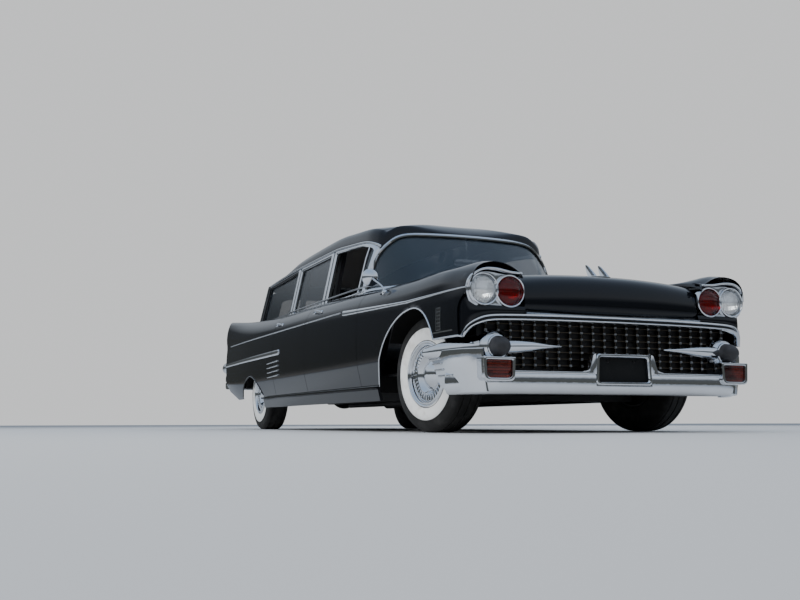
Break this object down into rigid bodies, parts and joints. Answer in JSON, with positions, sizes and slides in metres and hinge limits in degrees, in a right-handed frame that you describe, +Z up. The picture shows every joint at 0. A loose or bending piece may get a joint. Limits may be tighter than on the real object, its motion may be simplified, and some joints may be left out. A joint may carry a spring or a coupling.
{
  "type": "hearse",
  "caption": "Long black funeral car with side doors, rear loading door, lifting hood, low tail fins, steered front wheels and a roller deck for a casket.",
  "frame": {"origin": "on the floor under the middle of the car's overall box", "axes": "+X to the car's left, -Y towards the nose, +Z up"},
  "size_m": [2.0368, 6.235, 1.7259],
  "materials": {
    "black_paint": "gloss",
    "frame_black": "matte",
    "bright_plate": "polished",
    "tinted_glass": "polished",
    "rubber_tip": "satin",
    "grille_dark": "satin",
    "lamp_glass": "polished",
    "lamp_red": "gloss",
    "dash_trim": "satin",
    "seat_leather": "satin",
    "deck_wood": "satin",
    "tyre_rubber": "matte"
  },
  "bodies": {
    "body": {"chassis_frame": "frame_black", "floor_pan": "frame_black", "front_fenders": "black_paint", "sills": "black_paint", "rear_quarters": "black_paint", "tail_panels": "black_paint", "cowl": "black_paint", "roof": "black_paint", "body_posts": "black_paint", "windscreen": "tinted_glass", "windscreen_surround": "bright_plate", "quarter_glass": "tinted_glass", "front_bumper": "bright_plate", "bumper_tips": "rubber_tip", "grille": "grille_dark", "grille_bar": "bright_plate", "radiator": "frame_black", "lamp_bezels": "bright_plate", "lamps": "lamp_glass", "rear_bumper": "bright_plate", "tail_lamps": "lamp_red", "dashboard": "dash_trim", "seat_cushion": "seat_leather", "seat_back": "seat_leather", "steering_column": "dash_trim", "load_deck": "deck_wood", "engine": "frame_black", "front_suspension": "frame_black", "rear_axle": "frame_black", "exhaust": "frame_black", "mirror": "bright_plate", "side_trim": "bright_plate"},
    "hood": {"hood": "black_paint", "hood_ornament": "bright_plate"},
    "front_door_left": {"front_door_left": "black_paint", "front_glass_left": "tinted_glass", "front_door_trim_left": "bright_plate"},
    "front_door_right": {"front_door_right": "black_paint", "front_glass_right": "tinted_glass", "front_door_trim_right": "bright_plate"},
    "rear_door_left": {"rear_door_left": "black_paint", "rear_glass_left": "tinted_glass", "rear_door_trim_left": "bright_plate"},
    "rear_door_right": {"rear_door_right": "black_paint", "rear_glass_right": "tinted_glass", "rear_door_trim_right": "bright_plate"},
    "loading_door": {"loading_door": "black_paint", "loading_glass": "tinted_glass"},
    "steering_wheel": {"steering_wheel": "dash_trim"},
    "knuckle_left": {"knuckle_left": "frame_black"},
    "knuckle_right": {"knuckle_right": "frame_black"},
    "wheel_front_left": {"tyre_front_left": "tyre_rubber", "wheel_front_left": "bright_plate"},
    "wheel_front_right": {"tyre_front_right": "tyre_rubber", "wheel_front_right": "bright_plate"},
    "wheel_rear_left": {"tyre_rear_left": "tyre_rubber", "wheel_rear_left": "bright_plate"},
    "wheel_rear_right": {"tyre_rear_right": "tyre_rubber", "wheel_rear_right": "bright_plate"}
  },
  "joints": [
    {"name": "hood_hinge", "type": "hinge", "parent": "body", "child": "hood", "pos_m": [0, -1.6525, 0.985], "axis": [-1, 0, 0], "range_deg": [0, 55]},
    {"name": "front_door_left_hinge", "type": "hinge", "parent": "body", "child": "front_door_left", "pos_m": [1.002, -1.3425, 0.6], "axis": [0, 0, -1], "range_deg": [0, 65]},
    {"name": "front_door_right_hinge", "type": "hinge", "parent": "body", "child": "front_door_right", "pos_m": [-1.002, -1.3425, 0.6], "axis": [0, 0, 1], "range_deg": [0, 65]},
    {"name": "rear_door_left_hinge", "type": "hinge", "parent": "body", "child": "rear_door_left", "pos_m": [1.002, -0.0905, 0.6], "axis": [0, 0, -1], "range_deg": [0, 65]},
    {"name": "rear_door_right_hinge", "type": "hinge", "parent": "body", "child": "rear_door_right", "pos_m": [-1.002, -0.0905, 0.6], "axis": [0, 0, 1], "range_deg": [0, 65]},
    {"name": "loading_door_hinge", "type": "hinge", "parent": "body", "child": "loading_door", "pos_m": [0.566, 2.9075, 0.9], "axis": [0, 0, -1], "range_deg": [0, 100]},
    {"name": "steer_left", "type": "hinge", "parent": "body", "child": "knuckle_left", "pos_m": [0.64, -2.2125, 0.358], "axis": [0, 0, 1], "range_deg": [-43, 23]},
    {"name": "steer_right", "type": "hinge", "parent": "body", "child": "knuckle_right", "pos_m": [-0.64, -2.2125, 0.358], "axis": [0, 0, 1], "range_deg": [-43, 23]},
    {"name": "steering_wheel_turn", "type": "hinge", "parent": "body", "child": "steering_wheel", "pos_m": [0.4, -0.8825, 0.94], "axis": [0, 0.9108, 0.4129], "range_deg": [-775, 415]},
    {"name": "spin_front_left", "type": "hinge", "parent": "knuckle_left", "child": "wheel_front_left", "pos_m": [0.77246, -2.18914, 0.358], "axis": [0.9848, 0.1736, 0], "continuous": true},
    {"name": "spin_front_right", "type": "hinge", "parent": "knuckle_right", "child": "wheel_front_right", "pos_m": [-0.77246, -2.23586, 0.358], "axis": [0.9848, 0.1736, 0], "continuous": true},
    {"name": "spin_rear_left", "type": "hinge", "parent": "body", "child": "wheel_rear_left", "pos_m": [0.7745, 1.7495, 0.358], "axis": [1, 0, 0], "continuous": true},
    {"name": "spin_rear_right", "type": "hinge", "parent": "body", "child": "wheel_rear_right", "pos_m": [-0.7745, 1.7495, 0.358], "axis": [1, 0, 0], "continuous": true}
  ],
  "couplings": [
    {"joint": "steer_right", "follows": "steer_left", "ratio": 1},
    {"joint": "steering_wheel_turn", "follows": "steer_left", "ratio": 18}
  ]
}
